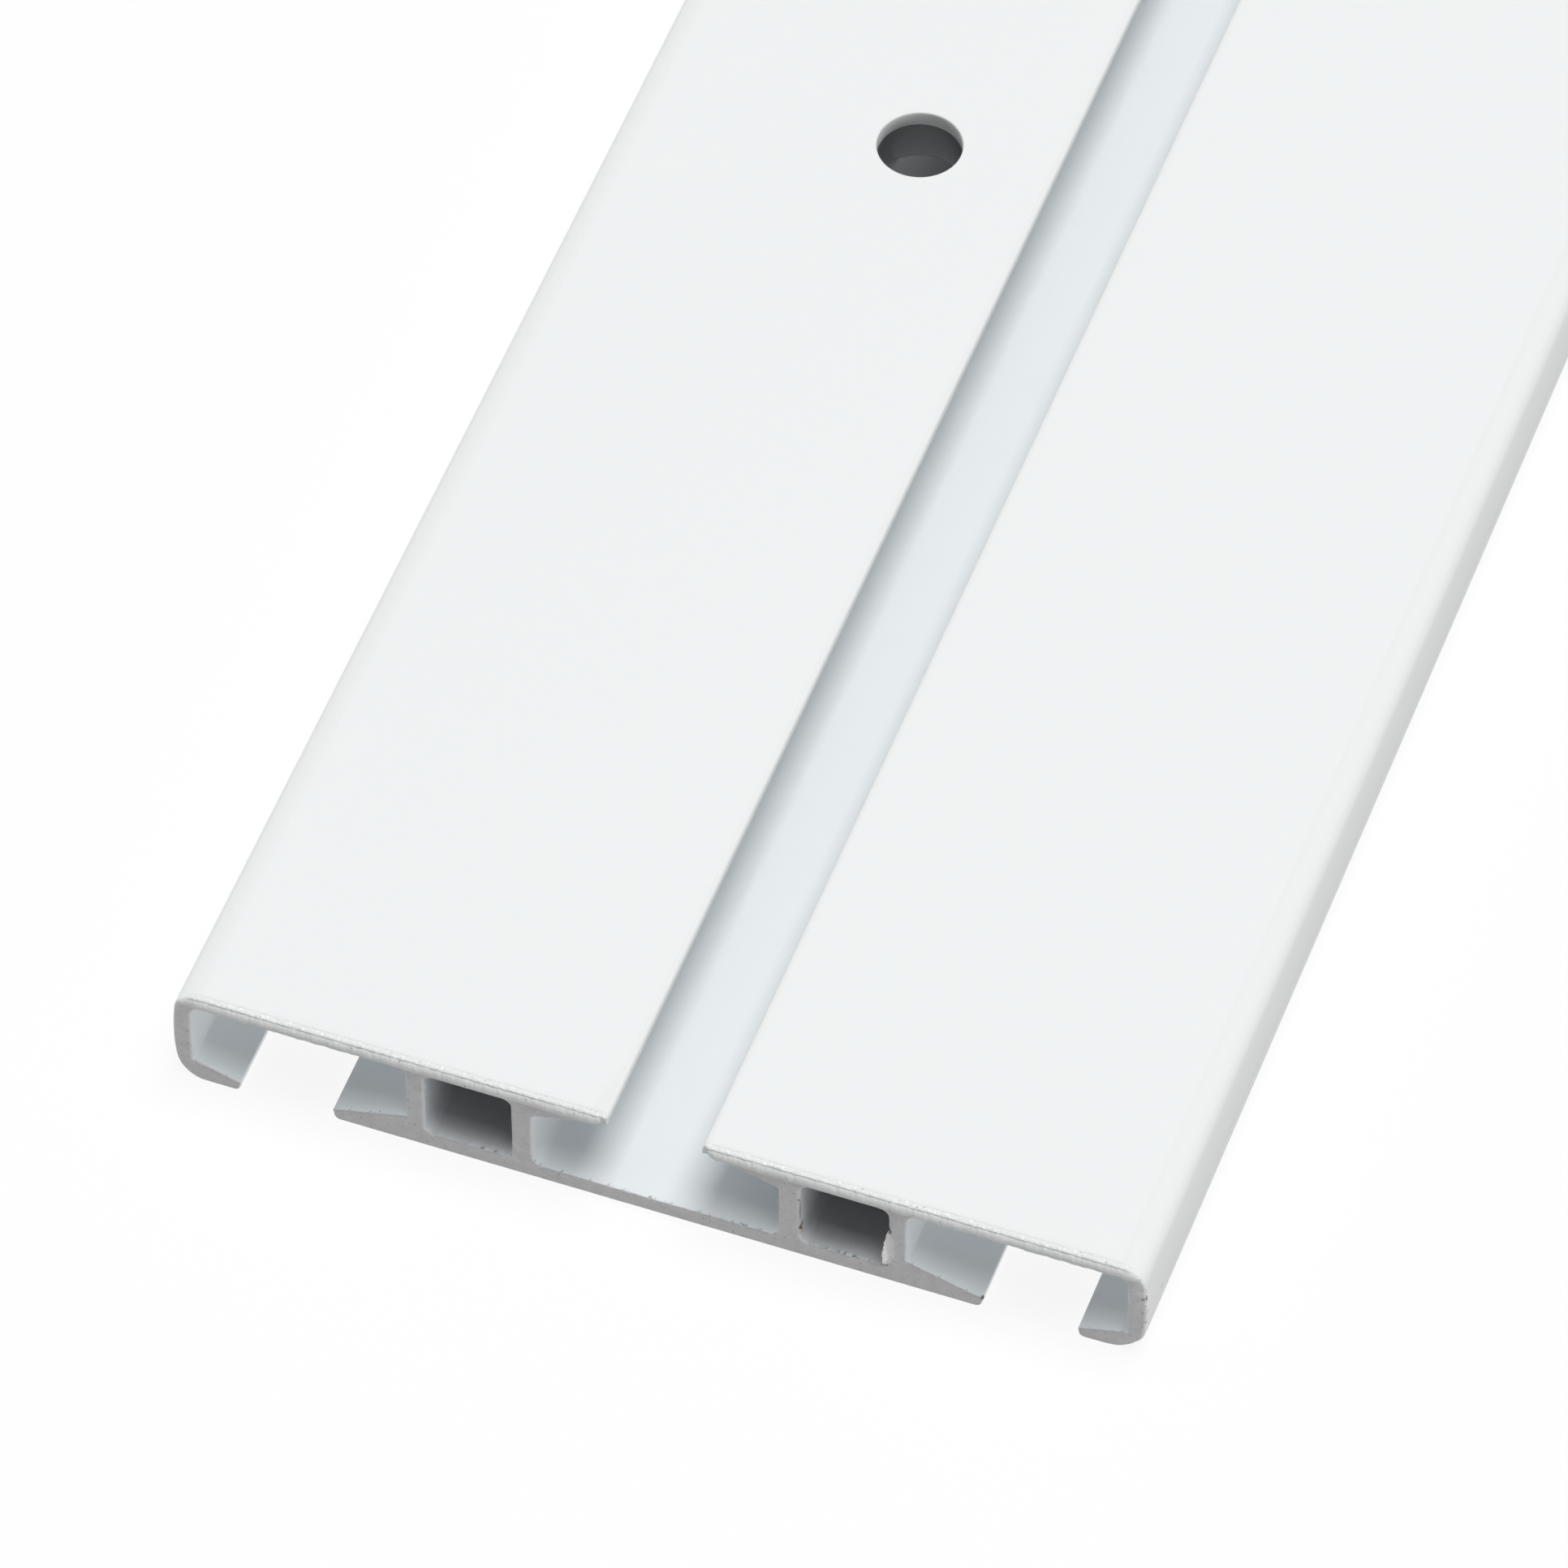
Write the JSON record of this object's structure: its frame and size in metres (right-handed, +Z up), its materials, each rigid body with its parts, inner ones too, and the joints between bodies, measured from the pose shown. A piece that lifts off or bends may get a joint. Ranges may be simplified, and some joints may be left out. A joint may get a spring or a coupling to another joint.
{
  "type": "curtain track",
  "caption": "Flat white reversible curtain track: an extruded profile with lipped glider channels on both faces, hollow chambers and a row of screw holes.",
  "frame": {"origin": "centre of the width and the length, at the face with two slots, which lies down", "axes": "+Y along the track, away from the end that the picture shows; +X across it, to the right seen from that end; +Z up, out of the face with one slot"},
  "size_m": [0.062, 1.2, 0.0078],
  "materials": {
    "white_coated_aluminium": "satin"
  },
  "bodies": {
    "root": {"track_profile": "white_coated_aluminium"}
  },
  "joints": []
}
